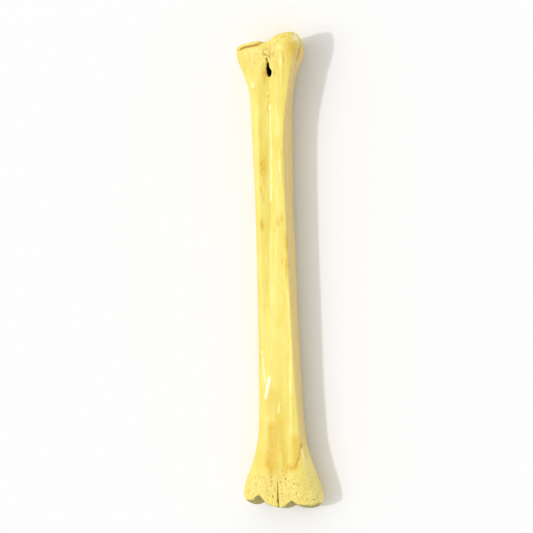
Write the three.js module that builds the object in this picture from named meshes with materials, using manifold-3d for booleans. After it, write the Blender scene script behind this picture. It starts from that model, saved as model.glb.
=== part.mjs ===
// Cannon bone of a young giraffe: the fused third and fourth foot bones of one hind leg.
// It lies on its back (plantar) side. X runs across the bone, Y runs along it with the
// ankle (proximal) end at +Y, and Z is up through the front (dorsal) face. Millimetres.

import * as THREE from 'three';
import { ParametricGeometry } from 'three/addons/geometries/ParametricGeometry.js';
import { mergeVertices } from 'three/addons/utils/BufferGeometryUtils.js';
import Module from 'manifold-3d';

const wasm = await Module();
wasm.setup();

// Driving dimensions
const LENGTH = 620;
const NODE_NAME = 'cannon_bone';

// Cross-sections, each at a distance from the proximal tip. left and right are the reach of
// the front face to each side of its midline groove, depth is front to back, corner is the
// squareness of the section (2 is an ellipse), and inset is how much each side has drawn in
// by the time it reaches the back face.
const SECTIONS = [
  { at: 0, left: 46, right: 38.8, depth: 65, corner: 4.0, inset: 11 },
  { at: 14, left: 46.8, right: 41.8, depth: 66, corner: 4.2, inset: 8 },
  { at: 30, left: 46.8, right: 39.2, depth: 65.5, corner: 4.2, inset: 4.2 },
  { at: 52, left: 38.8, right: 33, depth: 60, corner: 4.4, inset: 8.5 },
  { at: 75, left: 31, right: 28, depth: 54.5, corner: 4.8, inset: 7.5 },
  { at: 98, left: 29, right: 23, depth: 50, corner: 5.4, inset: 4 },
  { at: 122, left: 27.8, right: 19.4, depth: 47.5, corner: 6.2, inset: 0.8 },
  { at: 190, left: 25.8, right: 18, depth: 45, corner: 6.6, inset: 0 },
  { at: 282, left: 25.2, right: 19.8, depth: 42, corner: 6.6, inset: 0.5 },
  { at: 361, left: 25.6, right: 22, depth: 39.5, corner: 6.6, inset: 0.8 },
  { at: 447, left: 27, right: 25.1, depth: 38, corner: 6.2, inset: 1 },
  { at: 479, left: 27.8, right: 27, depth: 38.2, corner: 5.6, inset: 1.5 },
  { at: 518, left: 29.8, right: 30.2, depth: 40, corner: 4.4, inset: 1.8 },
  { at: 539, left: 33, right: 32.8, depth: 42.5, corner: 3.8, inset: 1 },
  { at: 562, left: 40, right: 39, depth: 47, corner: 3.3, inset: 0 },
  { at: 586, left: 49.4, right: 47.6, depth: 51.5, corner: 3.1, inset: 0 },
  { at: 602, left: 52.2, right: 52, depth: 52.5, corner: 3, inset: 0 },
  { at: 620, left: 50.5, right: 51.5, depth: 51, corner: 3, inset: 0 },
];

// The line halfway through the depth, which is straight from end to end
const MID_HEIGHT = { proximalAt: 28, proximal: 33, distalAt: 594, distal: 26.2 };

// Rows of the skin, as distances from the proximal tip
const PROXIMAL_RIM = 13;
const DISTAL_RIM = 604;
const RIM_ROWS = [0, 1.1, 2.2, 3.4, 5.4, 8.4, 12, 17];
const SHAFT_ROWS = [
  36, 44, 53, 63, 75, 89, 105, 122, 146, 176, 212, 250, 290, 330, 370, 408, 442, 470,
  492, 508, 521, 532, 542, 551, 559, 567, 574, 581, 588, 594, 599,
];
const CAP_SCALES = [0, 0.22, 0.42, 0.6, 0.75, 0.86, 0.94, 0.985];

// The rings of an end face close on a seam this long, as a share of the width
const SEAM = 0.62;
const AROUND = 72;

// How far from an end the slant of its rim still shows in the rows of the wall
const PROXIMAL_FADE = 42;
const DISTAL_FADE = 46;

// Roundings where the wall turns over onto the end faces, which are about END_REACH from
// middle to rim
const PROXIMAL_EDGE = 3;
const DISTAL_EDGE = 3;
const END_REACH = 42;

// Features of one face fade in between these shares of the way from the middle of the bone
const FACE_EDGE = 0.55;
const FACE_FLAT = 0.95;

const { clamp, lerp, smoothstep } = THREE.MathUtils;

// A bell curve of height 1, centred on zero, that is about width wide to each side
function bell(distance, width) {
  return Math.exp(-((distance / width) ** 2));
}

// Smooth values between the numbers given in a list of [place, value] pairs
function curveThrough(points) {
  const places = points.map((point) => point[0]);
  const values = points.map((point) => point[1]);
  const curve = new THREE.CubicInterpolant(places, values, 1);
  return (place) => curve.evaluate(clamp(place, places[0], places[places.length - 1]))[0];
}

function sectionCurve(key) {
  return curveThrough(SECTIONS.map((section) => [section.at, section[key]]));
}

const leftReach = sectionCurve('left');
const rightReach = sectionCurve('right');
const depthAt = sectionCurve('depth');
const cornerAt = sectionCurve('corner');
const insetAt = sectionCurve('inset');

// How much squarer the front right corner is than the other three, along the bone
const frontRightKeenness = curveThrough([
  [0, 1.3], [60, 1.6], [120, 1.8], [470, 1.8], [540, 1.3], [580, 1], [620, 1],
]);

// Depth of the groove where the two foot bones met, down the middle of the front face
const dorsalGroove = curveThrough([
  [0, 0], [22, 0.8], [40, 2.6], [90, 3.2], [200, 3], [290, 1.8], [380, 0.6], [440, 0], [620, 0],
]);
const GROOVE_LEFT_WALL = 15;
const GROOVE_RIGHT_WALL = 9.5;
const GROOVE_SHARPNESS = 1.15;

// The groove wanders to the left as it fades out
const grooveLine = curveThrough([
  [0, 0.6], [60, 0.6], [150, -1.2], [220, -2.2], [285, -5.2], [350, -8], [430, -8.6], [620, -8.6],
]);

// Depth of the broad trough down the back face
const plantarTrough = curveThrough([
  [0, 7], [40, 9], [120, 8], [300, 6], [430, 3.5], [520, 2], [590, 2], [620, 2],
]);
const TROUGH_SHARE = 0.66;

// Front edge of the proximal joint surface, across the bone: the left facet lies lower than
// the right one, with a shallow notch between them
const proximalProfile = curveThrough([
  [-1, 17.4], [-0.6, 12.9], [-0.24, 10.6], [-0.1, 12.2], [0.04, 11.4], [0.18, 7.4], [0.36, 3],
  [0.6, 0.9], [0.9, 0], [1, 0.5],
]);

// Both facets fall away towards the back
const LEFT_BACK_DROP = 3;
const RIGHT_BACK_DROP = 9;

// The two joint facets are shallow dishes, longer from front to back than they are wide
const FACETS = [
  { across: -0.56, through: 0.1, wide: 0.29, long: 0.41, depth: 1.6 },
  { across: 0.52, through: 0.1, wide: 0.3, long: 0.43, depth: 2.2 },
];
const JOINT_NOTCH = { across: -0.03, width: 0.13, depth: 6 };

// A thin lip stands along the front edge of the left facet, with a crease under it.
// creaseBelow is how far the crease lies below the rim, across the bone.
const LIP = { height: 0.7, thickness: 1.2, fade: 0.8, crease: 1.5, creaseWidth: 1.3 };
const creaseBelow = curveThrough([
  [-0.9, 2.6], [-0.62, 2], [-0.4, 2.4], [-0.25, 1.8], [-0.14, 0.6],
]);

// Upright hollow on each side of the proximal end, between the front corner and the back lobe
const SIDE_HOLLOW = { depth: 3.4, through: 0.3, width: 0.24, from: 62, until: 88 };

// Distal growth surface: knobs parted by valleys that run front to back
// The valleys are deepest where they run out over the front and back edges.
const distalProfile = curveThrough([
  [-1, 12], [-0.87, 5.9], [-0.72, 4.2], [-0.24, 1.6], [0.1, 0], [0.3, 0.8], [0.6, 0.2],
  [0.84, 1.4], [1, 7],
]);
const VALLEYS = [
  { across: -0.5, width: 0.125, depth: 8 },
  { across: 0.33, width: 0.1, depth: 6 },
];
const VALLEY_MIDDLE_SHARE = 0.58;
const VALLEY_BACK_SHARE = 0.65;
const BACK_SETBACK = 4;

// How far the front edge of the distal surface lies behind its most prominent part, so that
// a strip of the surface shows from the front
const frontSetback = curveThrough([
  [-1, 7], [-0.5, 7.4], [-0.2, 3.6], [0.1, 3], [0.3, 4.2], [0.5, 5.6], [0.8, 4.6], [1, 3],
]);

// Four low swellings on the back face that the bone lies on
const PADS = [
  { at: 30, across: -0.6, rise: 3.6 },
  { at: 30, across: 0.6, rise: 3.9 },
  { at: 588, across: -0.5, rise: 3.4 },
  { at: 588, across: 0.5, rise: 3.4 },
];
const PAD_LENGTH = 14;
const PAD_WIDTH = 0.24;

// Outline of the vessel hole on the front face, from the head of its slit down the right side
// of its mouth and back up the left. x is across from the midline.
const FORAMEN_OUTLINE = [
  { x: 0.8, at: 33 }, { x: 1.6, at: 40 }, { x: 1.5, at: 43.6 }, { x: 2.1, at: 45.6 },
  { x: 3.4, at: 47.2 }, { x: 4.8, at: 49.2 }, { x: 5.3, at: 51 }, { x: 4.4, at: 53.6 },
  { x: 2.8, at: 56.2 }, { x: 0.9, at: 57.5 }, { x: -0.8, at: 55.8 }, { x: -1.6, at: 53 },
  { x: -1.8, at: 50 }, { x: -1.9, at: 47.4 }, { x: -1.4, at: 45.6 }, { x: -0.7, at: 43.4 },
  { x: -0.4, at: 40 }, { x: -1.1, at: 33.4 },
];
const FORAMEN_DEPTH = 24;

// Cleft between the distal knobs: how far its blade runs up the bone just above the front
// face, at the core, and just below the back face
const CLEFT = { width: 1.6, front: 57, middle: 4, back: 30 };

// Pits that show from a step away. x is across from the midline.
const PITS = [
  { x: 2.2, at: 61.4, size: 1.2 },
  { x: -1, at: 81.8, size: 1.3 },
  { x: -6.5, at: 603.5, size: 1.5, long: 1.9 },
  { x: 22.4, at: 584, size: 1.3 },
  { x: 25, at: 599, size: 1.7 },
  { x: 46, at: 607, size: 1.3 },
  { x: -18, at: 578, size: 1.3 },
];

const PIT_SIDES = 5;

// Smaller pits of the open spongy bone above the distal edge
const SPONGE = { count: 36, from: 566, until: 602, spread: 0.88, smallest: 0.6, largest: 1.35 };
const SPONGE_LENGTHS = [1, 2.2];

// Swellings of the front face: the tendon boss, the two banks of the vessel slit, the rough
// lump above it, and the two distal knuckles. x is across from the midline.
const SWELLINGS = [
  { at: 17, x: 21, along: 13, wide: 12, rise: 1.8 },
  { at: 48, x: 14.5, along: 18, wide: 4.5, rise: 0.9 },
  { at: 42, x: -9, along: 13, wide: 4.5, rise: 0.8 },
  { at: 24, x: -1, along: 6, wide: 8, rise: 1.3 },
  { at: 586, x: -26, along: 16, wide: 15, rise: 1.1 },
  { at: 588, x: 25, along: 16, wide: 15, rise: 1.1 },
];

// Point of a rounded square of size 1 at an angle around the bone. Angles are drawn towards
// the corners, where the surface bends most.
const CORNER_CROWDING = 0.42;

function squareRing(turn, at) {
  const even = turn * 2 * Math.PI;
  const angle = even + (CORNER_CROWDING / 4) * Math.sin(4 * even);
  const across = Math.cos(angle);
  const through = Math.sin(angle);
  const keenness = across > 0 && through > 0 ? frontRightKeenness(at) : 1;
  const corner = cornerAt(at) * keenness;
  const size = (Math.abs(across) ** corner + Math.abs(through) ** corner) ** (-1 / corner);
  return { across: across * size, through: through * size, seam: SEAM * across };
}

function midHeight(at) {
  const { proximalAt, proximal, distalAt, distal } = MID_HEIGHT;
  return lerp(proximal, distal, (at - proximalAt) / (distalAt - proximalAt));
}

// Distance of the proximal surface from the tip, over the face
function proximalFace(across, through) {
  let at = proximalProfile(across);
  for (const { across: x, through: z, wide, long, depth } of FACETS) {
    at += depth * bell(across - x, wide) * bell(through - z, long);
  }
  const toBack = smoothstep(-through, -0.1, 0.9);
  at += toBack * lerp(LEFT_BACK_DROP, RIGHT_BACK_DROP, smoothstep(across, -0.2, 0.4));
  at += JOINT_NOTCH.depth * toBack * bell(across - JOINT_NOTCH.across, JOINT_NOTCH.width);
  return at;
}

// Distance of the distal surface from the proximal tip, over the face
function distalFace(across, through) {
  let short = distalProfile(across);
  const toFront = smoothstep(through, -0.3, 1);
  short += toFront * frontSetback(across);
  short += BACK_SETBACK * smoothstep(-through, 0.2, 1);
  const rimShare = through < 0 ? VALLEY_BACK_SHARE : 1;
  const edgeShare = lerp(VALLEY_MIDDLE_SHARE, rimShare, smoothstep(Math.abs(through), 0.1, 0.8));
  for (const valley of VALLEYS) {
    short += valley.depth * edgeShare * bell(across - valley.across, valley.width);
  }
  return LENGTH - short;
}

// Place in the bone of a point given by its distance along and its place in the section
function place(at, across, through) {
  const reach = across < 0 ? leftReach(at) : rightReach(at);
  const drawIn = (insetAt(at) * (1 - through)) / 2 / reach;
  let x = across * reach * (1 - drawIn);
  let z = midHeight(at) + (through * depthAt(at)) / 2;

  const fromGroove = x - grooveLine(at);
  const wall = fromGroove < 0 ? GROOVE_LEFT_WALL : GROOVE_RIGHT_WALL;
  const onFront = smoothstep(through, FACE_EDGE, FACE_FLAT);
  const wallShare = Math.max(0, 1 - Math.abs(fromGroove) / wall);
  z -= dorsalGroove(at) * onFront * wallShare ** GROOVE_SHARPNESS;

  for (const { at: high, x: line, along, wide, rise } of SWELLINGS) {
    z += rise * onFront * bell(at - high, along) * bell(x - line, wide);
  }

  const onBack = smoothstep(-through, FACE_EDGE, FACE_FLAT);
  const troughPlace = clamp(Math.abs(across) / TROUGH_SHARE, 0, 1);
  z += plantarTrough(at) * onBack * (1 - troughPlace ** 2) ** 2;
  for (const pad of PADS) {
    z -= pad.rise * onBack * bell(at - pad.at, PAD_LENGTH) * bell(across - pad.across, PAD_WIDTH);
  }

  const onSide = smoothstep(Math.abs(across), FACE_EDGE, FACE_FLAT);
  const hollowFade = 1 - smoothstep(at, SIDE_HOLLOW.from, SIDE_HOLLOW.until);
  const hollow = bell(through - SIDE_HOLLOW.through, SIDE_HOLLOW.width);
  x -= Math.sign(across) * SIDE_HOLLOW.depth * onSide * hollowFade * hollow;
  return { x, z };
}

// Height of the lip or depth of the crease at a distance below the proximal edge
function lipHeight(below, across, through) {
  const onLeftFront = smoothstep(through, 0.5, 0.9) * smoothstep(-across, 0.06, 0.2);
  const { thickness, fade } = LIP;
  const lip = LIP.height * (1 - smoothstep(below, thickness - fade, thickness + fade));
  const crease = LIP.crease * bell(below - creaseBelow(across), LIP.creaseWidth);
  return onLeftFront * (lip - crease);
}

// How far the edge rounding sets a point back, from nothing inside the face to its radius
// at the rim
function edgeRound(scale, radius) {
  const inner = 1 - radius / END_REACH;
  const share = clamp((scale - inner) / (1 - inner), 0, 1);
  return radius * (1 - Math.sqrt(1 - share ** 2));
}

// All rows of the skin from the middle of the proximal face, along the wall, to the middle
// of the distal face
function skinRows() {
  const rows = [];
  for (const scale of CAP_SCALES) rows.push({ face: 'proximal', scale });
  for (const below of RIM_ROWS) rows.push({ face: 'wall', at: PROXIMAL_RIM + below });
  for (const at of SHAFT_ROWS) rows.push({ face: 'wall', at });
  for (const scale of [...CAP_SCALES].reverse()) rows.push({ face: 'distal', scale });
  return rows;
}

const ROWS = skinRows();
const WALL_END = SHAFT_ROWS[SHAFT_ROWS.length - 1];

function wallPoint(row, turn) {
  const { across, through } = squareRing(turn, row.at);
  const below = row.at - PROXIMAL_RIM;
  const nearTop = 1 - smoothstep(below, 0, PROXIMAL_FADE);
  const nearEnd = 1 - smoothstep(WALL_END - row.at, 0, DISTAL_FADE);
  const topShift = proximalFace(across, through) + PROXIMAL_EDGE - PROXIMAL_RIM;
  const endShift = distalFace(across, through) - DISTAL_EDGE - WALL_END;
  const at = row.at + nearTop * topShift + nearEnd * endShift;
  const { x, z } = place(at, across, through);
  return { x, at, z: z + lipHeight(below, across, through) };
}

function facePoint(row, turn) {
  const proximal = row.face === 'proximal';
  const rim = proximal ? PROXIMAL_RIM : DISTAL_RIM;
  const ring = squareRing(turn, rim);
  const across = lerp(ring.seam, ring.across, row.scale);
  const through = ring.through * row.scale;
  const face = proximal ? proximalFace : distalFace;
  const radius = proximal ? PROXIMAL_EDGE : DISTAL_EDGE;
  const setBack = edgeRound(row.scale, radius);
  const at = face(across, through) + (proximal ? setBack : -setBack);
  const edge = face(ring.across, ring.through);
  const outer = place(edge, ring.across, ring.through);
  const lip = proximal ? lipHeight(0, ring.across, ring.through) : 0;
  const seamX = ring.seam * (ring.seam < 0 ? leftReach(rim) : rightReach(rim));
  const x = lerp(seamX, outer.x, row.scale);
  const z = lerp(midHeight(rim), outer.z + lip, row.scale);
  return { x, at, z };
}

function skinPoint(u, v, target) {
  const row = ROWS[Math.round(v * (ROWS.length - 1))];
  const point = row.face === 'wall' ? wallPoint(row, u) : facePoint(row, u);
  target.set(point.x, LENGTH / 2 - point.at, point.z);
}

// A closed three.js geometry as a solid that can be cut and joined
function solidOf(geometry) {
  const bare = geometry.clone();
  bare.deleteAttribute('normal');
  bare.deleteAttribute('uv');
  const merged = mergeVertices(bare, 1e-3);
  const corners = merged.index.array;
  const triangles = [];
  for (let i = 0; i < corners.length; i += 3) {
    const [a, b, c] = corners.slice(i, i + 3);
    if (a !== b && b !== c && c !== a) triangles.push(a, b, c);
  }
  return new wasm.Manifold(new wasm.Mesh({
    numProp: 3,
    vertProperties: new Float32Array(merged.attributes.position.array),
    triVerts: new Uint32Array(triangles),
  }));
}

function geometryOf(solid) {
  const mesh = solid.getMesh();
  const geometry = new THREE.BufferGeometry();
  geometry.setAttribute('position', new THREE.BufferAttribute(mesh.vertProperties, 3));
  geometry.setIndex(new THREE.BufferAttribute(mesh.triVerts, 1));
  return geometry;
}

// A solid from an outline drawn in the front view (X across, Y along the bone) and pushed
// straight through from one height to another
function cutFromFront(shape, low, high) {
  const geometry = new THREE.ExtrudeGeometry(shape, {
    depth: high - low,
    bevelEnabled: false,
    curveSegments: 5,
  });
  geometry.translate(0, 0, low);
  return solidOf(geometry);
}

// The blood-vessel hole at the head of the groove: a slit that widens to a drop-shaped mouth
function foramen() {
  const points = FORAMEN_OUTLINE.map(({ x, at }) => new THREE.Vector2(x, LENGTH / 2 - at));
  const head = FORAMEN_OUTLINE[0].at;
  const top = midHeight(head) + depthAt(head) / 2;
  return cutFromFront(new THREE.Shape(points), top - FORAMEN_DEPTH, top + 5);
}

// The cleft between the two knobs at the distal end: a thin blade with a hollow edge, so it
// bites deepest at the front and back faces
function distalCleft() {
  const { width, front, middle, back } = CLEFT;
  const low = -5;
  const high = depthAt(LENGTH) + 10;
  const tip = -20;
  const bow = 2 * middle - (front + back) / 2;
  const shape = new THREE.Shape();
  shape.moveTo(tip, low);
  shape.lineTo(back, low);
  shape.quadraticCurveTo(bow, (low + high) / 2, front, high);
  shape.lineTo(tip, high);
  shape.closePath();
  const geometry = new THREE.ExtrudeGeometry(shape, {
    depth: width,
    bevelEnabled: false,
    curveSegments: 8,
  });
  geometry.translate(0, 0, -width / 2);
  geometry.rotateX(Math.PI / 2);
  geometry.rotateZ(Math.PI / 2);
  geometry.translate(0, -LENGTH / 2, 0);
  return solidOf(geometry);
}

// A small pit in the front face: a faceted ball set in the surface, longer than it is wide
function pit({ x, at, size, long = 1.5 }) {
  const geometry = new THREE.SphereGeometry(size, PIT_SIDES, PIT_SIDES - 1);
  geometry.rotateX(Math.PI / 2);
  geometry.scale(1, long, 1.3);
  const across = x / (x < 0 ? leftReach(at) : rightReach(at));
  const corner = cornerAt(at);
  const through = (1 - Math.abs(across) ** corner) ** (1 / corner);
  geometry.translate(x, LENGTH / 2 - at, place(at, across, through).z);
  return solidOf(geometry);
}

// A number between 0 and 1 that looks random and is the same each time
function chance(count, kind) {
  const large = Math.sin(count * 12.9898 + kind * 78.233) * 43758.5453;
  return large - Math.floor(large);
}

// The scattered pits of the spongy bone, which crowd towards the distal edge
function spongePits() {
  const { count, from, until, spread, smallest, largest } = SPONGE;
  const pits = [];
  for (let i = 1; i <= count; i += 1) {
    const across = lerp(-spread, spread, chance(i, 1));
    const at = lerp(until, from, chance(i, 2) ** 1.5) - distalProfile(across) / 2;
    const x = across * (across < 0 ? leftReach(at) : rightReach(at));
    const size = lerp(smallest, largest, chance(i, 3));
    const nearCleft = Math.abs(x) < CLEFT.width + size;
    if (!nearCleft) pits.push({ x, at, size, long: lerp(...SPONGE_LENGTHS, chance(i, 4)) });
  }
  return pits;
}

// Everything below the ground plane, which leaves small flats on the pads
function groundBlock() {
  const side = 2 * LENGTH;
  const geometry = new THREE.BoxGeometry(side, side, side);
  geometry.translate(0, 0, -side / 2);
  return solidOf(geometry);
}

const skin = new ParametricGeometry(skinPoint, AROUND, ROWS.length - 1);
let bone = solidOf(skin);
bone = bone.subtract(foramen());
bone = bone.subtract(distalCleft());
for (const spot of [...PITS, ...spongePits()]) bone = bone.subtract(pit(spot));
bone = bone.subtract(groundBlock());

const geometry = geometryOf(bone);
geometry.computeBoundingBox();
const box = geometry.boundingBox;
geometry.translate(-(box.min.x + box.max.x) / 2, -(box.min.y + box.max.y) / 2, 0);

const material = new THREE.MeshStandardMaterial({ color: 0xf3df86, roughness: 0.35, metalness: 0 });
const mesh = new THREE.Mesh(geometry, material);
mesh.name = NODE_NAME;
const model = new THREE.Group();
model.add(mesh);

export default model;
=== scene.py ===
import math

import bpy
import numpy as np
from mathutils import Matrix, Vector


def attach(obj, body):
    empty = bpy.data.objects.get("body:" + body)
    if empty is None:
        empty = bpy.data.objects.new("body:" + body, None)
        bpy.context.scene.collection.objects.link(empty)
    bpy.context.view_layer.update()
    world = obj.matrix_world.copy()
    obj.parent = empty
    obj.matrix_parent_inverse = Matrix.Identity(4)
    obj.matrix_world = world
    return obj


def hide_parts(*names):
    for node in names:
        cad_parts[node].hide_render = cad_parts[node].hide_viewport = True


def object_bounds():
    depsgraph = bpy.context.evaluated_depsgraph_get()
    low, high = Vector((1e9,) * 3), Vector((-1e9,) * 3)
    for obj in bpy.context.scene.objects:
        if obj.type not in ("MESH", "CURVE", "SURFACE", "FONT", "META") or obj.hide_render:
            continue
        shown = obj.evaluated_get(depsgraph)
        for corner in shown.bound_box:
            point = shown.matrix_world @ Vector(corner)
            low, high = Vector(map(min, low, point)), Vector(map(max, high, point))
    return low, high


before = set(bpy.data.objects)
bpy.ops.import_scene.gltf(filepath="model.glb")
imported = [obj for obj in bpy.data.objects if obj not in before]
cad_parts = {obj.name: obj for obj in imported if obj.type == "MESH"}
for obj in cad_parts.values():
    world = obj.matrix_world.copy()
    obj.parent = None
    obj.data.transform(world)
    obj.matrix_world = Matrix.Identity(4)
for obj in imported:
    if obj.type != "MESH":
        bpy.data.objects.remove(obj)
cad_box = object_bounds()

# Sizes are millimetres. Places are given on the bone: x is across it, "at" is the distance
# down from its upper tip and z is the height above the floor.
MM = 0.001
PER_METRE = 1000
TOP_Y = round(cad_box[1][1] / MM)


# The camera

# How far it goes round to the bone's right side, and how far the bone leans in the picture
ROLL = math.radians(17.0)
LEAN = math.radians(1.1)
# The picture's width at the bone, and the camera's distance from it
SEEN_WIDTH = 697.0
CAMERA_AWAY = 4000.0
SENSOR = 36.0
# The middle of the picture: its height, and how far it is from the bone's own middle
AIM_HEIGHT = 30
AIM_RIGHT = -15.7
AIM_UP = 6.3


def add_camera():
    """The photograph's view: from above, turned a little towards the bone's right side."""
    across = Vector((math.cos(ROLL), 0, -math.sin(ROLL)))
    along = Vector((0, 1, 0))
    right = across * math.cos(LEAN) - along * math.sin(LEAN)
    up = across * math.sin(LEAN) + along * math.cos(LEAN)
    back = right.cross(up)
    middle = Vector((0, 0, AIM_HEIGHT)) + right * AIM_RIGHT + up * AIM_UP
    data = bpy.data.cameras.new("camera")
    data.sensor_width = SENSOR
    data.lens = SENSOR * CAMERA_AWAY / SEEN_WIDTH
    data.clip_start = 0.1
    data.clip_end = 50
    camera = bpy.data.objects.new("camera", data)
    bpy.context.scene.collection.objects.link(camera)
    turn = Matrix((right, up, back)).transposed().to_4x4()
    camera.matrix_world = Matrix.Translation((middle + back * CAMERA_AWAY) * MM) @ turn
    bpy.context.scene.camera = camera


# Tools for meshes

# Vertex weights are rounded to this many steps, because each step is stored in one call
WEIGHT_STEPS = 250


def only(piece):
    """Selects this object alone and makes it the active one."""
    bpy.ops.object.select_all(action="DESELECT")
    piece.select_set(True)
    bpy.context.view_layer.objects.active = piece


def finish_with(piece, kind, **settings):
    """Adds a modifier with its settings and applies it."""
    only(piece)
    step = piece.modifiers.new(kind.lower(), kind)
    for name, value in settings.items():
        setattr(step, name, value)
    bpy.ops.object.modifier_apply(modifier=step.name)


def points_of(piece):
    """The vertices' places in millimetres, one row each."""
    flat = np.zeros(len(piece.data.vertices) * 3, np.float32)
    piece.data.vertices.foreach_get("co", flat)
    return flat.reshape(-1, 3).astype(float) * PER_METRE


def put_points(piece, points):
    """Moves the vertices to these places in millimetres."""
    piece.data.vertices.foreach_set("co", (points * MM).astype(np.float32).ravel())
    piece.data.update()


def normals_of(piece):
    """The vertices' outward directions, one row each."""
    flat = np.zeros(len(piece.data.vertices) * 3, np.float32)
    piece.data.vertex_normals.foreach_get("vector", flat)
    return flat.reshape(-1, 3).astype(float)


def places_of(piece):
    """The vertices' x, at and z on the bone, and their outward directions."""
    points = points_of(piece)
    return points[:, 0], TOP_Y - points[:, 1], points[:, 2], normals_of(piece)


def triangles_of(piece):
    """How many triangles its faces make."""
    return sum(len(polygon.vertices) - 2 for polygon in piece.data.polygons)


def weigh(piece, name, weights):
    """Stores one weight per vertex as a vertex group, for a modifier to read."""
    group = piece.vertex_groups.new(name=name)
    steps = np.round(np.clip(weights, 0, 1) * WEIGHT_STEPS).astype(int)
    for level in np.unique(steps):
        if level > 0:
            group.add(np.nonzero(steps == level)[0].tolist(), level / WEIGHT_STEPS, "REPLACE")


def move_out(piece, name, weights, distance):
    """Moves the surface outwards by a distance in millimetres times each vertex's weight."""
    weigh(piece, name, weights)
    finish_with(piece, "DISPLACE", vertex_group=name, mid_level=0, strength=distance * MM)


def remember(piece, name, values):
    """Stores one number per vertex, for a material to read."""
    attribute = piece.data.attributes.new(name, "FLOAT", "POINT")
    attribute.data.foreach_set("value", np.asarray(values, np.float32))


def ramp(low, high, values):
    """0 at low, 1 at high, with an even curve between."""
    t = np.clip((values - low) / (high - low), 0, 1)
    return t * t * (3 - 2 * t)


def near(x, at, path, wide, long=None):
    """1 on a line drawn on the bone, falling off over its width, or on a spot, which may be
    longer than it is wide."""
    if len(path) == 1:
        spot_x, spot_at = path[0]
        return np.exp(-(((x - spot_x) / wide) ** 2) - ((at - spot_at) / (long or wide)) ** 2)
    closest = np.full(len(x), np.inf)
    for (x0, at0), (x1, at1) in zip(path, path[1:]):
        length = (x1 - x0) ** 2 + (at1 - at0) ** 2
        share = np.clip(((x - x0) * (x1 - x0) + (at - at0) * (at1 - at0)) / length, 0, 1)
        gap = (x - x0 - share * (x1 - x0)) ** 2 + (at - at0 - share * (at1 - at0)) ** 2
        closest = np.minimum(closest, gap)
    return np.exp(-closest / wide**2)


# The bone's shape

VOXEL = 0.92
MOST_TRIANGLES = 192000
ROUNDING = {"levels": 2, "render_levels": 2}
# How often the cage is fitted to the CAD points, and how far a point moves each time
CAGE_ROUNDS = 2
CAGE_REACH = 1.5


def spread_cage(piece):
    """Moves the cage of a subdivision surface outwards, so that the rounded surface passes
    through the CAD points instead of shrinking inside them."""
    goal = points_of(piece)
    cage = goal.copy()
    for _ in range(CAGE_ROUNDS):
        trial = piece.copy()
        trial.data = piece.data.copy()
        bpy.context.scene.collection.objects.link(trial)
        finish_with(trial, "SUBSURF", **ROUNDING)
        cage += np.clip(goal - points_of(trial)[: len(goal)], -CAGE_REACH, CAGE_REACH)
        put_points(piece, cage)
        bpy.data.objects.remove(trial)


SLIT_MIDDLE = 0.3
SLIT_OPENING = 0.45
SLIT_CLOSING = 0.4


def shape_slit(piece):
    """Moves the walls of the vessel slit apart at its lower end, so that the voxels don't
    bridge it, and closer together at its shallow upper end."""
    x, at, _, normals = places_of(piece)
    wall = ramp(3.2, 2.4, np.abs(x - SLIT_MIDDLE)) * ramp(0.4, 0.8, np.abs(normals[:, 0]))
    lower = ramp(37, 41, at) * ramp(48, 44, at)
    upper = ramp(30, 33, at) * ramp(39, 35, at)
    move_out(piece, "open", wall * lower, -SLIT_OPENING)
    move_out(piece, "shut", wall * upper, SLIT_CLOSING)
    piece.vertex_groups.clear()


def bone_blank():
    """A copy of the CAD bone with its loose triangles joined and its facets rounded off."""
    cad_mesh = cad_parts["cannon_bone"].data
    piece = bpy.data.objects.new("cannon_bone_surface", cad_mesh.copy())
    bpy.context.scene.collection.objects.link(piece)
    piece.data.materials.clear()
    only(piece)
    bpy.ops.object.mode_set(mode="EDIT")
    bpy.ops.mesh.select_all(action="SELECT")
    bpy.ops.mesh.remove_doubles(threshold=1e-6)
    bpy.ops.mesh.tris_convert_to_quads(
        face_threshold=math.radians(30), shape_threshold=math.radians(80)
    )
    bpy.ops.object.mode_set(mode="OBJECT")
    spread_cage(piece)
    finish_with(piece, "SUBSURF", **ROUNDING)
    shape_slit(piece)
    finish_with(piece, "REMESH", mode="VOXEL", voxel_size=VOXEL * MM)
    finish_with(piece, "SMOOTH", factor=0.5, iterations=2)
    return piece


# The crease under the raised rim of the joint face, left of the groove
CREASE = [
    (-36, 20.5),
    (-34.4, 19.7),
    (-29, 17.8),
    (-18.7, 16.7),
    (-11.9, 15.3),
    (-7.8, 13.4),
    (-5.6, 12.2),
]
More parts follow.
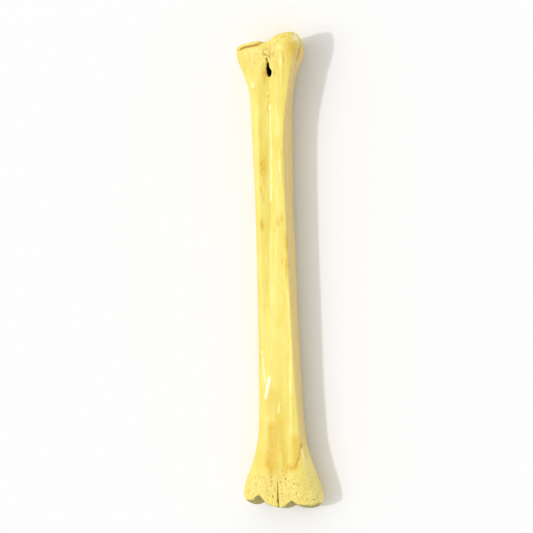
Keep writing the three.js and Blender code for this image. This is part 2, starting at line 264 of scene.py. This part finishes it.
# Ridges, knobs and hollows of the front face: the line in x and at, how wide, how high
FRONT_RELIEF = [
    # rough lump over the vessel slit and the two banks of the slit
    ([(-0.6, 24.4), (1.4, 26), (2.6, 28.4)], 1.8, 1.3),
    ([(-5.5, 20), (-6, 25)], 1.4, 0.7),
    ([(-2.6, 28), (-3.2, 24)], 1.8, -0.25),
    ([(7, 17.5), (9.5, 19.5), (9.5, 24)], 1.4, 0.6),
    ([(10.5, 27), (8.6, 31)], 1.2, -0.45),
    ([(-6.4, 31), (-7, 42.4)], 1.7, 0.6),
    ([(20.2, 20.6)], 2.2, 1.0),
    ([(20.4, 27), (20, 46), (18.6, 68)], 2.2, 0.8),
    ([(19.6, 44)], 4, 1.1),
    ([(27, 30), (25, 52)], 2.6, 0.3),
    ([(-22.4, 24), (-21, 34)], 5.5, -0.6),
    ([(-13, 30), (-13, 40)], 3.2, -0.5),
    ([(9, 34), (9, 54)], 3.0, -0.4),
    ([(13.5, 34), (14, 46)], 2.0, -0.4),
    ([(21, 6.5), (27, 5.5)], 1.1, -0.45),
    ([(12, 15), (17, 11)], 1.6, -0.35),
    (CREASE, 1.1, -0.7),
    # little knobs and the seam down the groove
    ([(-0.4, 78.8)], 2.2, 1.1),
    ([(0, 86), (0.8, 90)], 1.4, 0.3),
    ([(0.4, 94), (0.4, 99)], 1.5, 0.35),
    ([(0, 99), (-0.4, 151), (-1.6, 188), (-2.2, 218)], 1.1, 0.22),
    ([(-22.6, 70.5)], 4.2, 0.95),
    ([(12.8, 150), (12.6, 200)], 1.7, 0.32),
    # ridge along the front right edge
    ([(19.2, 335), (21.6, 418), (20.4, 450), (19.7, 520)], 2.2, 0.6),
    # shallow ripples that catch the light
    ([(-19.4, 410), (-18.6, 425), (-15.2, 454)], 1.4, 0.22),
    ([(-7.2, 447), (-9.8, 458), (-12.8, 474)], 3.5, 0.42),
    ([(4.4, 480), (2, 495)], 1.5, 0.22),
    # split ridge on the right of the lower flare
    ([(30.4, 536), (28.6, 552), (24.9, 562)], 1.2, -0.45),
    ([(31, 539), (33.2, 551), (35.4, 560)], 1.4, 0.6),
    ([(33.8, 540), (36.4, 554)], 1.3, -0.4),
    # low swell that parts the two lower knuckles, and furrows beside it
    ([(-3.4, 500), (-3, 560), (-2.2, 586)], 3.5, 0.45),
    ([(-10, 545), (-8, 590)], 2.6, -0.35),
    ([(13, 548), (12, 575)], 5.0, -0.5),
    ([(-24, 560), (-30, 590)], 3.5, -0.35),
]
# The same on the right side, with each line in z and at
SIDE_FURROW = [(32, 10), (36, 18), (40, 28), (42.5, 37), (44, 48)]
RIGHT_RELIEF = [
    (SIDE_FURROW, 3.2, -0.6),
    ([(48, 40), (47, 70), (46, 100)], 2.6, 0.35),
    ([(30, 70), (29, 130)], 3.0, -0.4),
]
# The highest that the drawn relief stands out, and the deepest
RELIEF_REACH = 1.6


def drawn_relief(piece):
    """The drawn ridges and hollows, raised and sunk along the surface."""
    x, at, z, normals = places_of(piece)
    front = ramp(0.1, 0.45, normals[:, 2]) * ramp(20, 28, z)
    right = ramp(0.4, 0.75, normals[:, 0])
    height = np.zeros(len(x))
    for lines, place, share in ((FRONT_RELIEF, x, front), (RIGHT_RELIEF, z, right)):
        for path, wide, rise in lines:
            height += rise * near(place, at, path, wide) * share
    move_out(piece, "raised", height / RELIEF_REACH, RELIEF_REACH)
    move_out(piece, "sunk", -height / RELIEF_REACH, -RELIEF_REACH)


# The cleft's walls lie within this much of the middle, and start below this place
CLEFT_HALF = 1.7
CLEFT_FROM = 560
# They move in by the whole closing at the cleft's upper end, and by a share of it below
CLEFT_CLOSING = 0.9
CLEFT_LOWER_SHARE = 0.33


def cleft_wall(x, at, normals):
    """1 on the two walls of the cleft, 0 elsewhere."""
    in_cleft = (np.abs(x) < CLEFT_HALF) & (at > CLEFT_FROM)
    return np.where(in_cleft, ramp(0.3, 0.8, np.abs(normals[:, 0])), 0)


def close_cleft(piece):
    """Brings the walls of the cleft a little closer than the CAD blade leaves them, and at
    its upper end together."""
    x, at, _, normals = places_of(piece)
    share = CLEFT_LOWER_SHARE + (1 - CLEFT_LOWER_SHARE) * ramp(592, 587, at)
    move_out(piece, "cleft", cleft_wall(x, at, normals) * share, CLEFT_CLOSING)


# The bone's own grain, as cloud patterns that move the surface: the part of the bone, the
# pattern's size, its finer layers, its kind, how far it is drawn out along the bone, its height
SOFT = "SOFT_NOISE"
HARD = "HARD_NOISE"
GRAIN = [
    ("shaft", 2.6, 1, SOFT, 9, 0.12),
    ("shaft", 11, 1, SOFT, 2.2, 0.3),
    ("top", 4.5, 2, SOFT, 2.2, 0.45),
    ("knobs", 3.2, 1, HARD, 1, 0.8),
    ("sponge", 2.6, 1, HARD, 2.2, 0.75),
    ("sponge", 8, 1, SOFT, 1, 0.6),
    ("growth", 5.5, 2, HARD, 1, 1.8),
]
# The value of each kind of pattern that leaves the surface where it is
UNMOVED = {SOFT: 0.5, HARD: 0.35}
# The knobbed bone above the vessel slit
KNOBS_MIDDLE = (3, 24)
KNOBS_WIDE = 8
KNOBS_LONG = 7


def stretched(length):
    """An empty whose scale draws a pattern out along the bone."""
    empty = bpy.data.objects.new("stretch", None)
    bpy.context.scene.collection.objects.link(empty)
    empty.scale = (1, length, 1)
    bpy.context.view_layer.update()
    return empty


def grown_relief(piece):
    """The bone's own grain: fibres along the shaft, open sponge and knobs at the ends."""
    x, at, z, normals = places_of(piece)
    off_floor = ramp(0.4, 3, z)
    front = ramp(0.1, 0.5, normals[:, 2])
    # the growth surface at the lower end, and the smooth joint surface at the upper end
    end_face = ramp(0.55, 0.85, -normals[:, 1]) * ramp(590, 600, at)
    top_face = ramp(0.5, 0.8, normals[:, 1]) * ramp(40, 30, at)
    sponge = ramp(560, 590, at) * off_floor
    knobs = near(x, at, [KNOBS_MIDDLE], KNOBS_WIDE, KNOBS_LONG) * front
    weigh(piece, "shaft", off_floor * (1 - sponge) * (1 - top_face))
    weigh(piece, "sponge", sponge * (1 - end_face))
    weigh(piece, "growth", end_face * off_floor)
    weigh(piece, "knobs", knobs)
    weigh(piece, "top", ramp(80, 30, at) * (1 - top_face) * off_floor)
    for part, size, finer_layers, kind, drawn_out, height in GRAIN:
        pattern = bpy.data.textures.new(part, "CLOUDS")
        pattern.noise_scale = size * MM
        pattern.noise_depth = finer_layers
        pattern.noise_type = kind
        stretch = stretched(drawn_out)
        finish_with(
            piece,
            "DISPLACE",
            texture=pattern,
            texture_coords="OBJECT",
            texture_coords_object=stretch,
            vertex_group=part,
            mid_level=UNMOVED[kind],
            strength=height * MM,
        )
        bpy.data.objects.remove(stretch)


def thin_out(piece):
    """Fewer triangles on the plain shaft, all that there are on the rough ends."""
    _, at, _, _ = places_of(piece)
    weigh(piece, "plain", ramp(55, 75, at) * ramp(568, 552, at))
    count = triangles_of(piece)
    if count > MOST_TRIANGLES:
        finish_with(
            piece,
            "DECIMATE",
            decimate_type="COLLAPSE",
            ratio=MOST_TRIANGLES / count,
            vertex_group="plain",
            vertex_group_factor=1,
        )


def settle_inside(piece):
    """No point outside the CAD model's box or under the floor."""
    low, high = (np.array(corner) for corner in cad_box)
    put_points(piece, np.clip(points_of(piece), low / MM, high / MM))


# What the material reads from the mesh. The marks are spots and lines in x and at: the line,
# how wide, how long if it is a spot, how strong.

# Stains that the drying left
FRONT_STAINS = [
    ([(-11.5, 175)], 5.5, 18, 0.65),
    ([(-13.5, 172)], 2.2, 9, 0.8),
    ([(-9.8, 190)], 2.0, 14, 0.55),
    ([(-14.9, 203)], 1.6, 6, 0.7),
    ([(-11.9, 214)], 1.8, 7, 0.55),
    ([(-14.9, 250)], 2.6, 7, 1.0),
    ([(6.7, 246)], 2.2, 6, 0.75),
    ([(12.2, 241)], 1.7, 7, 0.65),
    ([(17.5, 273)], 2.2, 9, 0.65),
    ([(11.3, 297)], 2.6, 6, 0.45),
    ([(17.0, 302)], 2.0, 12, 0.65),
    ([(9, 150)], 2.0, 14, 0.3),
    ([(11, 186)], 1.3, 8, 0.7),
    ([(-13, 128)], 3.5, 16, 0.35),
    # around the lower flare
    ([(-13, 560)], 4, 6, 0.6),
    ([(30.2, 535), (28, 553), (23, 566)], 1.7, None, 0.85),
    ([(34.4, 547)], 2.2, 9, 0.8),
    ([(-2, 601)], 5, 5, 0.8),
    ([(14, 602)], 5, 4, 0.5),
    # around the upper end
    ([(34, 20)], 8, 13, 0.3),
    ([(-20, 34)], 9, 12, 0.3),
    ([(3, 24)], 9, 9, 0.4),
    ([(-4.6, 54)], 2.6, 9, 0.9),
    ([(13, 40)], 4, 13, 0.4),
    ([(-31, 38)], 3, 14, 0.3),
]
# Even washes of deeper yellow over the lower shaft and the upper corner
WASHES = [
    ([(-7.5, 512), (-7.5, 572)], 7.8, None, 1.0),
    ([(-13, 545), (-14, 562)], 5, None, 0.75),
    ([(4, 505), (6, 545)], 6, None, 0.75),
    ([(8, 532), (9, 570)], 4.5, None, 0.6),
    ([(9, 572), (14, 565), (19, 566)], 5.5, None, 0.9),
    ([(23, 528), (24, 564)], 4.5, None, 0.7),
    ([(-8, 470), (4, 505)], 11, None, 0.4),
    ([(14, 505), (8, 505)], 7, None, 0.4),
    ([(-5, 588), (-2, 604)], 6, None, 0.55),
    ([(34, 20)], 8, 13, 0.6),
    ([(28, 30)], 6, 16, 0.3),
]
# Pale bone and painted highlights on the parts that stand out: the near-white spots stand in
# for glints of the lamp
PALE_BONE_AND_PAINTED_HIGHLIGHTS = [
    ([(37.4, 5.5), (37.8, 9.5)], 4.2, None, 0.95),
    ([(31.5, 542), (34.4, 556)], 1.2, None, 0.95),
    ([(-38, 14), (-20, 10)], 2.5, None, 0.5),
    ([(26.5, 598.5)], 3.2, 2.6, 0.9),
    ([(-0.4, 24.4), (1.4, 25.8), (2.6, 28)], 1.3, None, 1.0),
    ([(19.3, 20)], 1.6, 1.6, 0.7),
    ([(-30, 575), (-34, 590)], 4, None, 0.4),
]
# Where the varnish lies thick and smooth enough to mirror the lamp
POLISHED = [
    ([(-21.8, 65.5), (-21.4, 69)], 2.6, None, 1.0),
    ([(-0.4, 24.6), (1.4, 26), (2.6, 28)], 1.8, None, 1.0),
    ([(19.3, 20)], 2.2, 2.2, 1.0),
    ([(19.3, 32), (19, 42)], 2.0, None, 0.9),
    ([(-1.3, 78)], 2.0, 2.0, 1.0),
    ([(0.4, 95), (0.4, 98)], 1.7, None, 1.0),
    ([(0, 101), (-0.4, 151), (-1.6, 184)], 0.8, None, 0.8),
    ([(-1.6, 184), (-1.7, 191)], 1.0, None, 1.0),
    ([(-1.9, 196), (-2.2, 218)], 0.8, None, 0.9),
    ([(12.3, 165), (12.2, 193)], 1.5, None, 1.0),
    ([(18.4, 335), (20, 380)], 1.2, None, 0.8),
    ([(20, 380), (21, 418), (20, 450)], 1.2, None, 0.6),
    ([(18, 452), (18.4, 470)], 1.3, None, 0.8),
    ([(18.6, 480), (19, 515)], 1.2, None, 0.4),
    ([(-19.4, 414), (-18.6, 425), (-15.2, 453)], 1.6, None, 1.0),
    ([(-10, 450), (-12.5, 458), (-15.6, 474)], 3.0, None, 1.0),
    ([(4.2, 482), (2.2, 493)], 1.9, None, 1.0),
]
# How strong the painted light is that makes the right side of the lower flare pale
FLARE_PAINTED_LIGHT = 0.7


def facing_up(normals):
    """1 where the bone faces up, 0 where it faces aside or down."""
    return ramp(0.0, 0.4, normals[:, 2])


def strongest(x, at, spots):
    """The largest of several spots and lines at each place."""
    value = np.zeros(len(x))
    for path, wide, long, strength in spots:
        value = np.maximum(value, strength * near(x, at, path, wide, long))
    return value


def note_marks(piece):
    """How stained, washed over, pale and polished each place is; the pale places are partly
    painted highlight and painted light.
    """
    x, at, z, normals = places_of(piece)
    front = facing_up(normals)
    remember(piece, "stain", strongest(x, at, FRONT_STAINS) * front)
    remember(piece, "wash", strongest(x, at, WASHES) * front)
    remember(piece, "polish", strongest(x, at, POLISHED) * front)
    # painted light: the right side of the lower flare is made paler, as if the lamps lit it
    # more
    flare = ramp(0.35, 0.7, normals[:, 0]) * ramp(530, 572, at) * FLARE_PAINTED_LIGHT
    off_the_back = ramp(25, 32, z)
    # pale bone, painted highlights and the painted light on the flare
    pale = np.maximum(strongest(x, at, PALE_BONE_AND_PAINTED_HIGHLIGHTS) * off_the_back, flare)
    remember(piece, "pale", pale)


# The rough bone above the vessel slit
ROUGH_HEAD = [(-22, 34), (-2, 28), (8, 24)]
ROUGH_HEAD_WIDTH = 11
# The line of the slit, whose edges get brown painted shade
SLIT = [(-0.2, 33.5), (0.4, 40), (0.3, 46)]
LINE_WIDTH = 1.1
# How wide the side furrow's painted shade is, and how strong
FURROW_WIDTH = 3.0
FURROW_PAINTED_SHADE = 0.35
# The left side gets this share of the sides' tan, which is partly the bone's own colour and
# partly painted shade
LEFT_TAN_AND_SHADE = 0.4
# Rounds of evening out that find the small hollows for the painted shade, and how much they
# count on the shaft
HOLLOW_ROUNDS = 6
SHAFT_HOLLOWS = 0.12
# The edge of the spongy bone wanders up and down by this much
SPONGE_WAVE = 3
SPONGE_WAVE_WIDTH = 5.0


def evened_out(piece, points, rounds):
    """The vertices' places after each has moved to the middle of its neighbours, again and
    again: the surface without its small hollows."""
    edges = np.zeros(len(piece.data.edges) * 2, np.int32)
    piece.data.edges.foreach_get("vertices", edges)
    first, second = edges.reshape(-1, 2).T
    ends = np.concatenate((first, second))
    others = np.concatenate((second, first))
    neighbours = np.bincount(ends, minlength=len(points))
    for _ in range(rounds):
        total = [np.bincount(ends, points[others, k], len(points)) for k in range(3)]
        points = np.stack(total, axis=1) / neighbours[:, None]
    return points


def note_build(piece):
    """How hollow, spongy and creased each place is, and how far it faces aside or down: all but
    the sponge get some painted shade.
    """
    x, at, z, normals = places_of(piece)
    front = facing_up(normals)
    right = ramp(0.4, 0.75, normals[:, 0])

    # painted shade in the small hollows; the shaft's own broad groove gets only a little of it,
    # the rough ends count in full
    points = points_of(piece)
    sunk = ((evened_out(piece, points, HOLLOW_ROUNDS) - points) * normals).sum(axis=1)
    rough_end = np.maximum(ramp(64, 50, at), ramp(556, 572, at))
    counted = SHAFT_HOLLOWS + (1 - SHAFT_HOLLOWS) * rough_end
    remember(piece, "hollow", ramp(0.03, 0.22, sunk) * counted)

    rough_head = near(x, at, ROUGH_HEAD, ROUGH_HEAD_WIDTH) * front
    wave = SPONGE_WAVE * np.sin(x / SPONGE_WAVE_WIDTH)
    remember(piece, "sponge", np.maximum(ramp(562, 584, at + wave), rough_head))

    # the sides' tan is partly painted shade: in full on the right side, turned from the lamps,
    # and a share on the left
    flank = np.where(x > 0, 1.0, LEFT_TAN_AND_SHADE) * ramp(0.45, 0.85, np.abs(normals[:, 0]))
    remember(piece, "side", flank * ramp(8, 30, at) * ramp(592, 500, at))
    # painted shade where the sides turn to face down, towards the lower end
    remember(piece, "edge", flank * ramp(0.0, -0.25, normals[:, 2]) * ramp(604, 560, at))
    # painted shade on the lower end face, which faces down the bone, away from the lamps
    remember(piece, "under", ramp(0.35, 0.8, -normals[:, 1]) * ramp(592, 600, at))

    # painted shade in brown along the crease under the rim and the slit, and fainter in the
    # side furrow
    drawn = np.maximum(near(x, at, CREASE, LINE_WIDTH), near(x, at, SLIT, LINE_WIDTH)) * front
    furrow = near(z, at, SIDE_FURROW, FURROW_WIDTH) * right
    remember(piece, "crease", np.maximum(drawn, furrow * FURROW_PAINTED_SHADE))


# The vessel hole and its slit lie in this block: across, along and above a height
HOLE_LEFT = -4
HOLE_RIGHT = 7
HOLE_TOP = 32
HOLE_BOTTOM = 60
HOLE_LOWEST = 25
# The front face beside them: its height at one place, and how it falls from there down
SKIN_AT = 34
SKIN_HEIGHT = 65
SKIN_FALL = 0.23
# How dark the painted shade is at the top of the slit and in the cleft, next to the mouth of
# the hole
SLIT_DARKNESS = 0.3
CLEFT_DARKNESS = 0.45
# The cleft's line on the front face, by the lower end, painted dark as shade
CLEFT_END = [(0.2, 600), (0.3, 619)]
CLEFT_END_WIDTH = 0.9
CLEFT_END_DARKNESS = 0.35


def note_dark(piece):
    """How deep in the vessel hole or in the cleft each place is, where no light gets: painted
    shade.
    """
    x, at, z, normals = places_of(piece)
    front = facing_up(normals)
    skin = SKIN_HEIGHT - SKIN_FALL * (at - SKIN_AT)
    across = (x > HOLE_LEFT) & (x < HOLE_RIGHT)
    along = (at > HOLE_TOP) & (at < HOLE_BOTTOM)
    in_hole = across & along & (z > HOLE_LOWEST)
    slit_to_mouth = SLIT_DARKNESS + (1 - SLIT_DARKNESS) * ramp(38, 46, at)
    hole = np.where(in_hole, ramp(1, 5, skin - z) * slit_to_mouth, 0)
    cleft = cleft_wall(x, at, normals) * ramp(580, 606, at) * CLEFT_DARKNESS
    cleft_end = near(x, at, CLEFT_END, CLEFT_END_WIDTH) * front * CLEFT_END_DARKNESS
    remember(piece, "dark", np.maximum(hole, np.maximum(cleft, cleft_end)))


# The materials


def linear(colour):
    """An sRGB hex colour as the linear colour that a shader takes."""
    values = [int(colour[i : i + 2], 16) / 255 for i in (1, 3, 5)]
    return [v / 12.92 if v <= 0.04045 else ((v + 0.055) / 1.055) ** 2.4 for v in values] + [1]


def add(tree, kind, settings=None, **inputs):
    """Adds a node with its settings, and its inputs as values or links. An input goes by its
    label, with _ for each space, or by its place, as in _0."""
    node = tree.nodes.new(kind)
    for name, value in (settings or {}).items():
        setattr(node, name, value)
    for name, value in inputs.items():
        place = name[1:]
        socket = node.inputs[int(place) if place.isdigit() else name.replace("_", " ")]
        if isinstance(value, bpy.types.NodeSocket):
            tree.links.new(value, socket)
        else:
            socket.default_value = value
    return node


# Noise that breaks the bone's colour and gloss up: its size across the bone, how many times
# longer it is along it, its detail and roughness, and the values that it is spread from and
# to. Real bone fibres are about 0.2 mm wide and wouldn't show, so they are drawn as bundles
# of 1 to 2 mm.
PATTERNS = {
    "patches": (16, 3.2, 3, 0.5, (0.32, 0.7, 0, 1)),
    "fibres": (1.7, 22, 4, 0.5, (0.45, 0.72, 0, 1)),
    "pale fibres": (2.3, 18, 3, 0.5, (0.55, 0.75, 0, 1)),
    "vessel lines": (0.9, 9, 2, 0.5, (0.66, 0.76, 0, 1)),
    "streaks": (1.6, 30, 3, 0.5, (0.42, 0.7, 0, 1)),
    "uneven": (2.2, 2.5, 4, 0.6, (0.3, 0.7, 0.75, 1.1)),
    "broken": (1.2, 5, 4, 0.6, (0.36, 0.62, 0.5, 1.4)),
    "mottle": (3.4, 1.3, 3, 0.5, (0.4, 0.7, 0, 1)),
    "speckle": (1.2, 1.5, 3, 0.6, (0.48, 0.68, 0, 1)),
    "dullness": (7, 2.5, 3, 0.5, (0.3, 0.7, 0.56, 0.7)),
    "film": (1.2, 7, 2, 0.5, (0.3, 0.5, 0.6, 1)),
    "fine grain": (0.9, 16, 3, 0.5, None),
    "pores": (5, 5, 3, 0.5, None),
}
# What note_marks, note_build and note_dark stored on the mesh
NOTES = [
    "stain",
    "wash",
    "polish",
    "pale",
    "hollow",
    "sponge",
    "side",
    "edge",
    "under",
    "crease",
    "dark",
]

STRAW = "#F7E675"
# The colours laid over the straw yellow, one after another: what they cover, the part of its
# range that they fade in over (None for all of it), how strong and which colour
LAYERS = [
    # broad cloudy patches, then the fibres
    (["patches"], None, 1, "#EED95F"),
    (["fibres"], None, 0.5, "#E8CD56"),
    (["pale fibres"], None, 0.5, "#FCF090"),
    # short vessel lines that hold some brown
    (["vessel lines"], None, 0.3, "#CFA244"),
    # the sides are duller and more tan: partly the bone's own colour, partly painted shade,
    # strongest on the right side away from the lamps
    (["side"], None, 0.85, "#F0D48A"),
    (["side", "streaks"], None, 0.6, "#CDAC66"),
    # painted shade on the sides' edges that face down
    (["edge"], None, 0.7, "#CDB988"),
    # washes and stains, broken up along the fibres
    (["wash", "uneven"], None, 1, "#E3BA36"),
    (["stain", "broken"], None, 1, "#E0AE26"),
    (["stain", "broken"], (0.7, 1.1), 0.7, "#CF9028"),
    # pale bone and painted highlights, near-white where strongest
    (["pale"], None, 0.8, "#FFF0A0"),
    (["pale"], (0.75, 1), 1, "#FFFBE2"),
    # open spongy bone, pale with brown specks; then painted shade in the hollows
    (["sponge"], None, 0.6, "#FDEE88"),
    (["sponge", "mottle"], None, 0.4, "#E2C35A"),
    (["sponge", "speckle"], None, 0.5, "#C9982C"),
    # painted shade in brown where the surface sinks below its neighbours
    (["hollow"], None, 0.6, "#B87C12"),
    # painted shade in the creases, along the slit and in the side furrow
    (["crease"], None, 0.75, "#A87214"),
    # painted shade: the lower end face, turned away from the lamps, is darkened olive, and the
    # openings are darkened from brown to nearly black deep inside
    (["under"], None, 0.85, "#968B48"),
    (["dark"], (0, 0.4), 1, "#7A4A18"),
    (["dark"], (0.4, 0.95), 1, "#0C0502"),
]
# Roughness: what open sponge and stains add to it, and that of thick varnish
SPONGE_DULLNESS = 0.12
STAIN_DULLNESS = 0.2
VARNISH_ROUGHNESS = 0.18
# How much of the fine grain and of the pores shows in the bump
GRAIN_SHARE = 0.5
PORE_SHARE = 0.6

MULTIPLY = {"operation": "MULTIPLY"}
MULTIPLY_ADD = {"operation": "MULTIPLY_ADD"}
EVEN_CURVE = {"interpolation_type": "SMOOTHSTEP"}


def dried_varnished_bone():
    """Bone, boiled, dried and brushed with clear varnish: cream yellow, deeper where fat
    stayed in it, with fine fibres along it and a thin wet-looking coat."""
    material = bpy.data.materials.new("dried varnished bone")
    material.use_nodes = True
    tree = material.node_tree
    shader = tree.nodes["Principled BSDF"]
    place = add(tree, "ShaderNodeTexCoord").outputs["Object"]

    shares = {}
    for name in NOTES:
        note = add(tree, "ShaderNodeAttribute", {"attribute_name": name})
        shares[name] = note.outputs["Fac"]
    for name, (size, drawn_out, detail, roughness, spread) in PATTERNS.items():
        scale = (1 / (size * MM), 1 / (size * drawn_out * MM), 1 / (size * MM))
        scaled = add(tree, "ShaderNodeMapping", Vector=place, Scale=scale).outputs[0]
        noise = add(
            tree,
            "ShaderNodeTexNoise",
            Vector=scaled,
            Scale=1,
            Detail=detail,
            Roughness=roughness,
        )
        shares[name] = noise.outputs["Fac"]
        if spread:
            low, high, bottom, top = spread
            shares[name] = add(
                tree,
                "ShaderNodeMapRange",
                EVEN_CURVE,
                Value=shares[name],
                From_Min=low,
                From_Max=high,
                To_Min=bottom,
                To_Max=top,
            ).outputs[0]

    colour = linear(STRAW)
    for covered, fade, strength, over in LAYERS:
        share = shares[covered[0]]
        for name in covered[1:]:
            share = add(tree, "ShaderNodeMath", MULTIPLY, _0=share, _1=shares[name]).outputs[0]
        if fade:
            low, high = fade
            share = add(
                tree, "ShaderNodeMapRange", EVEN_CURVE, Value=share, From_Min=low, From_Max=high
            ).outputs[0]
        if strength < 1:
            share = add(tree, "ShaderNodeMath", MULTIPLY, _0=share, _1=strength).outputs[0]
        colour = add(
            tree, "ShaderNodeMix", {"data_type": "RGBA"}, _0=share, _6=colour, _7=linear(over)
        ).outputs[2]
    tree.links.new(colour, shader.inputs["Base Color"])

    # fibres and pores too fine for the mesh
    pores = add(tree, "ShaderNodeMath", MULTIPLY, _0=shares["pores"], _1=PORE_SHARE).outputs[0]
    height = add(
        tree, "ShaderNodeMath", MULTIPLY_ADD, _0=shares["fine grain"], _1=GRAIN_SHARE, _2=pores
    ).outputs[0]
    bump = add(tree, "ShaderNodeBump", Strength=0.3, Distance=0.3 * MM, Height=height)
    tree.links.new(bump.outputs[0], shader.inputs["Normal"])

    # satin bone, duller where it is open or stained, glossy where the varnish lies thick
    stain = add(
        tree, "ShaderNodeMath", MULTIPLY, _0=shares["stain"], _1=shares["broken"]
    ).outputs[0]
    marked = add(
        tree, "ShaderNodeMath", {"operation": "MAXIMUM"}, _0=shares["wash"], _1=stain
    ).outputs[0]
    rough = shares["dullness"]
    for share, dullness in ((shares["sponge"], SPONGE_DULLNESS), (marked, STAIN_DULLNESS)):
        rough = add(
            tree, "ShaderNodeMath", MULTIPLY_ADD, _0=share, _1=dullness, _2=rough
        ).outputs[0]
    varnish = add(
        tree, "ShaderNodeMath", MULTIPLY, _0=shares["polish"], _1=shares["film"]
    ).outputs[0]
    gloss = add(tree, "ShaderNodeMix", Factor=varnish, A=rough, B=VARNISH_ROUGHNESS)
    tree.links.new(gloss.outputs["Result"], shader.inputs["Roughness"])
    shader.inputs["IOR"].default_value = 1.52
    shader.inputs["Coat Weight"].default_value = 0.2
    shader.inputs["Coat Roughness"].default_value = 0.3
    shader.inputs["Coat IOR"].default_value = 1.5
    return material


def matte_white_board():
    """Painted board: flat white that shows soft shadows only."""
    material = bpy.data.materials.new("matte white board")
    material.use_nodes = True
    tree = material.node_tree
    shader = tree.nodes["Principled BSDF"]
    place = add(tree, "ShaderNodeTexCoord").outputs["Object"]
    grain = add(tree, "ShaderNodeTexNoise", Vector=place, Scale=900).outputs["Fac"]
    bump = add(tree, "ShaderNodeBump", Strength=0.05, Distance=0.1 * MM, Height=grain)
    tree.links.new(bump.outputs[0], shader.inputs["Normal"])
    shader.inputs["Base Color"].default_value = linear("#F4F4F4")
    shader.inputs["Roughness"].default_value = 0.9
    shader.inputs["Specular IOR Level"].default_value = 0.2
    return material


# The studio

BOARD_WIDTH = 8000
LIGHT_FROM = Vector((-0.494, -0.037, 0.868))
# A broad soft box and the small bright lamp inside it: strength and width seen from the bone
LAMPS = {"soft box": (0.5, math.radians(45)), "lamp": (0.85, math.radians(3.5))}
SKY = 0.72


def add_studio():
    """The white board under the bone, the white surroundings and the lamps."""
    bpy.ops.mesh.primitive_plane_add(size=BOARD_WIDTH * MM, location=(0, 0, 0))
    floor = bpy.context.object
    floor.name = "floor"
    floor.data.materials.append(matte_white_board())

    world = bpy.data.worlds.new("studio")
    bpy.context.scene.world = world
    world.use_nodes = True
    background = world.node_tree.nodes["Background"]
    background.inputs["Color"].default_value = (1, 1, 1, 1)
    background.inputs["Strength"].default_value = SKY

    for name, (strength, width) in LAMPS.items():
        sun = bpy.data.lights.new(name, "SUN")
        sun.energy = strength
        sun.angle = width
        lamp = bpy.data.objects.new(name, sun)
        bpy.context.scene.collection.objects.link(lamp)
        lamp.matrix_world = LIGHT_FROM.to_track_quat("Z", "Y").to_matrix().to_4x4()
    bpy.context.scene.view_settings.view_transform = "Standard"


add_camera()
bone = bone_blank()
drawn_relief(bone)
grown_relief(bone)
close_cleft(bone)
thin_out(bone)
settle_inside(bone)
bone.vertex_groups.clear()
note_marks(bone)
note_build(bone)
note_dark(bone)
only(bone)
bpy.ops.object.shade_smooth()
bone.data.materials.append(dried_varnished_bone())

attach(bone, "root")
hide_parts("cannon_bone")
add_studio()
